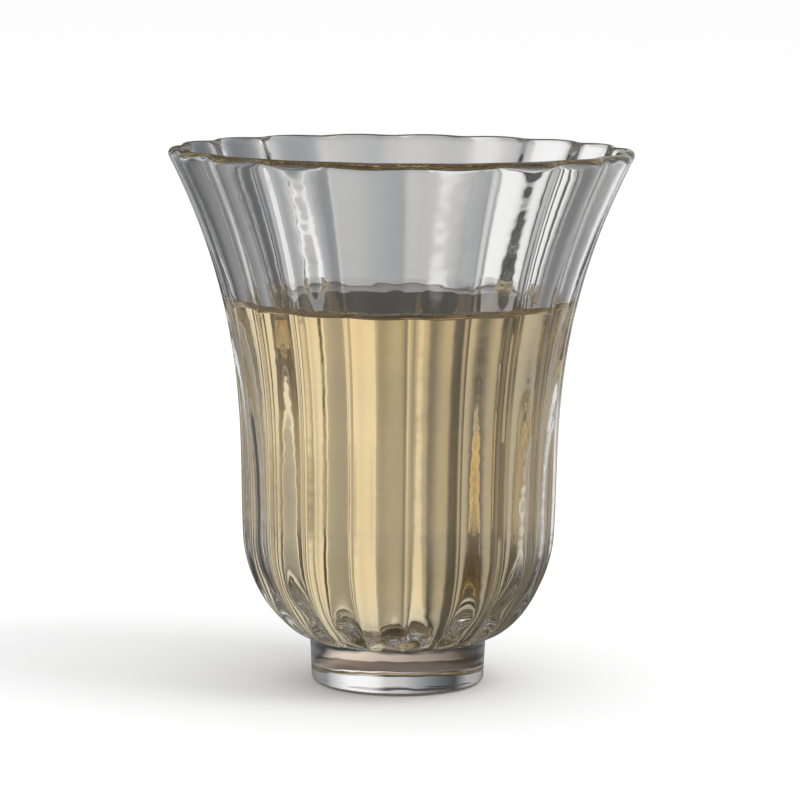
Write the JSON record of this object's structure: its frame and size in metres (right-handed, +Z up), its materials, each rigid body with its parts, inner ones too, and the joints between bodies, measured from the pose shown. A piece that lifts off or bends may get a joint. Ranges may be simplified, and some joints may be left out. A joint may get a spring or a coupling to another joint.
{
  "type": "glass teacup",
  "caption": "Handleless tulip-shaped glass teacup with a fluted, flared bowl on a short solid glass foot, part filled with pale golden tea.",
  "frame": {"origin": "on the table, under the middle of the foot", "axes": "+Z up the cup's axis; +X through the crown of a flute, so that +Y and -Y run through creases between flutes"},
  "size_m": [0.075, 0.074, 0.0865],
  "materials": {
    "clear_glass": "polished",
    "golden_tea": "gloss"
  },
  "bodies": {
    "cup": {"bowl": "clear_glass", "foot": "clear_glass"},
    "tea": {"tea": "golden_tea"}
  },
  "joints": [
    {"name": "tea_lift", "type": "slide", "parent": "cup", "child": "tea", "axis": [0, 0, 1], "range_m": [0, 0.08]}
  ]
}
